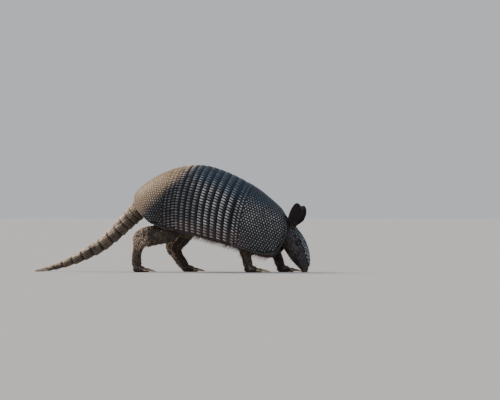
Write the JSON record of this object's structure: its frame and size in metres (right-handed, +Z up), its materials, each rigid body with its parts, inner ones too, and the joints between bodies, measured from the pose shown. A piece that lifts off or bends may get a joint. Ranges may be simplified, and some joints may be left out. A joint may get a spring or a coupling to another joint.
{
  "type": "armadillo",
  "caption": "Life-size still model of a long-nosed armadillo with a banded shell, walking head down with its snout on the ground, for display and set dressing.",
  "frame": {"origin": "on the floor, under the middle of the bounding box", "axes": "+X ahead, from tail to nose, +Y to the animal's left, +Z up"},
  "size_m": [0.5342, 0.15, 0.2038],
  "materials": {
    "shell": "horny scutes, satin, pale on their tops and dark between",
    "tail": "horny rings, satin, pale scales with dark joints",
    "skin": "bare creased hide with small flat scales and a few stiff hairs",
    "ear": "thin pebbled hide, matt",
    "claw": "horn, smooth satin",
    "eye": "polished, wet looking"
  },
  "bodies": {
    "root": {"scapular_shield": "shell", "band_1": "shell", "band_2": "shell", "band_3": "shell", "band_4": "shell", "band_5": "shell", "band_6": "shell", "band_7": "shell", "band_8": "shell", "band_9": "shell", "pelvic_shield": "shell", "head": "skin", "neck": "skin", "head_shield": "shell", "eye_right": "eye", "eye_left": "eye", "trunk": "skin", "ear_right": "ear", "ear_left": "ear", "leg_fore_right": "skin", "foot_fore_right": "skin", "claw_fore_right_1": "claw", "claw_fore_right_2": "claw", "claw_fore_right_3": "claw", "claw_fore_right_4": "claw", "leg_fore_left": "skin", "foot_fore_left": "skin", "claw_fore_left_1": "claw", "claw_fore_left_2": "claw", "claw_fore_left_3": "claw", "claw_fore_left_4": "claw", "leg_hind_right": "skin", "foot_hind_right": "skin", "claw_hind_right_1": "claw", "claw_hind_right_2": "claw", "claw_hind_right_3": "claw", "claw_hind_right_4": "claw", "claw_hind_right_5": "claw", "leg_hind_left": "skin", "foot_hind_left": "skin", "claw_hind_left_1": "claw", "claw_hind_left_2": "claw", "claw_hind_left_3": "claw", "claw_hind_left_4": "claw", "claw_hind_left_5": "claw", "tail_ring_1": "tail", "tail_ring_2": "tail", "tail_ring_3": "tail", "tail_ring_4": "tail", "tail_ring_5": "tail", "tail_ring_6": "tail", "tail_ring_7": "tail", "tail_ring_8": "tail", "tail_ring_9": "tail", "tail_ring_10": "tail", "tail_ring_11": "tail", "tail_ring_12": "tail", "tail_tip": "tail"}
  },
  "joints": []
}
